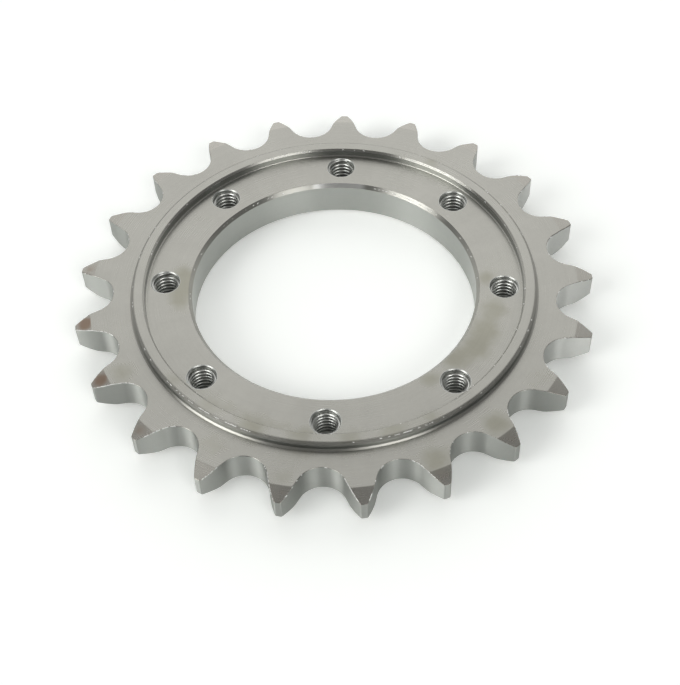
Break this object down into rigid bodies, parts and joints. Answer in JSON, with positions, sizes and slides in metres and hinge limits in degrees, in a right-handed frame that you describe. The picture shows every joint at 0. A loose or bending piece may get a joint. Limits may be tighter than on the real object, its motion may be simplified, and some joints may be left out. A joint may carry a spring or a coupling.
{
  "type": "chain sprocket",
  "caption": "Flat toothed ring for a roller chain, with a large plain bore, a recessed seat ringed by a raised lip, and tapped holes around the seat.",
  "frame": {"origin": "on the bore axis, in the plane of the bottom face", "axes": "+Z along the bore axis, out of the recessed seat face; +Y through the middle of a tooth and of a tapped hole"},
  "size_m": [0.1128, 0.1124, 0.0104],
  "materials": {
    "machined_steel": "bare steel with a fine turned satin face, smoother on the bore wall, with a little brown tint on some tooth bevels"
  },
  "bodies": {
    "root": {"sprocket": "machined_steel"}
  },
  "joints": []
}
